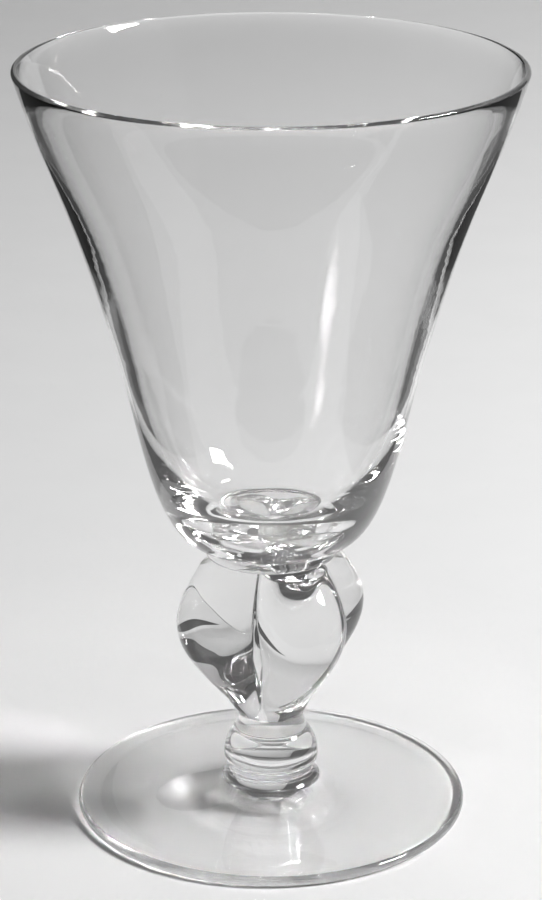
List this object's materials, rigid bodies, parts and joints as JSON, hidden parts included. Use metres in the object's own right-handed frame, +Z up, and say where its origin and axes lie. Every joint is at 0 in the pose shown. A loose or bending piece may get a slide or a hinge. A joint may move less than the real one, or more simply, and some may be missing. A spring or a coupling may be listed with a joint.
{
  "type": "water goblet",
  "caption": "Stemmed water goblet of clear glass: flared bowl, wafer, lobed stem knop, collar, button knop and round foot.",
  "frame": {"origin": "centre of the foot, on the plane of its resting ring", "axes": "+Z up along the goblet's axis towards the rim; the creases between the stem knop's lobes lie on the X and Y planes"},
  "size_m": [0.1024, 0.1024, 0.16],
  "materials": {
    "foot_glass": "clear, fire polished, with fine wear on the resting ring",
    "stem_glass": "clear, fire polished",
    "bowl_glass": "clear, fire polished, with a rounded lip"
  },
  "bodies": {
    "root": {"foot": "foot_glass", "button_knop": "stem_glass", "stem_collar": "stem_glass", "lobed_knop": "stem_glass", "bowl_wafer": "stem_glass", "bowl": "bowl_glass"}
  },
  "joints": []
}
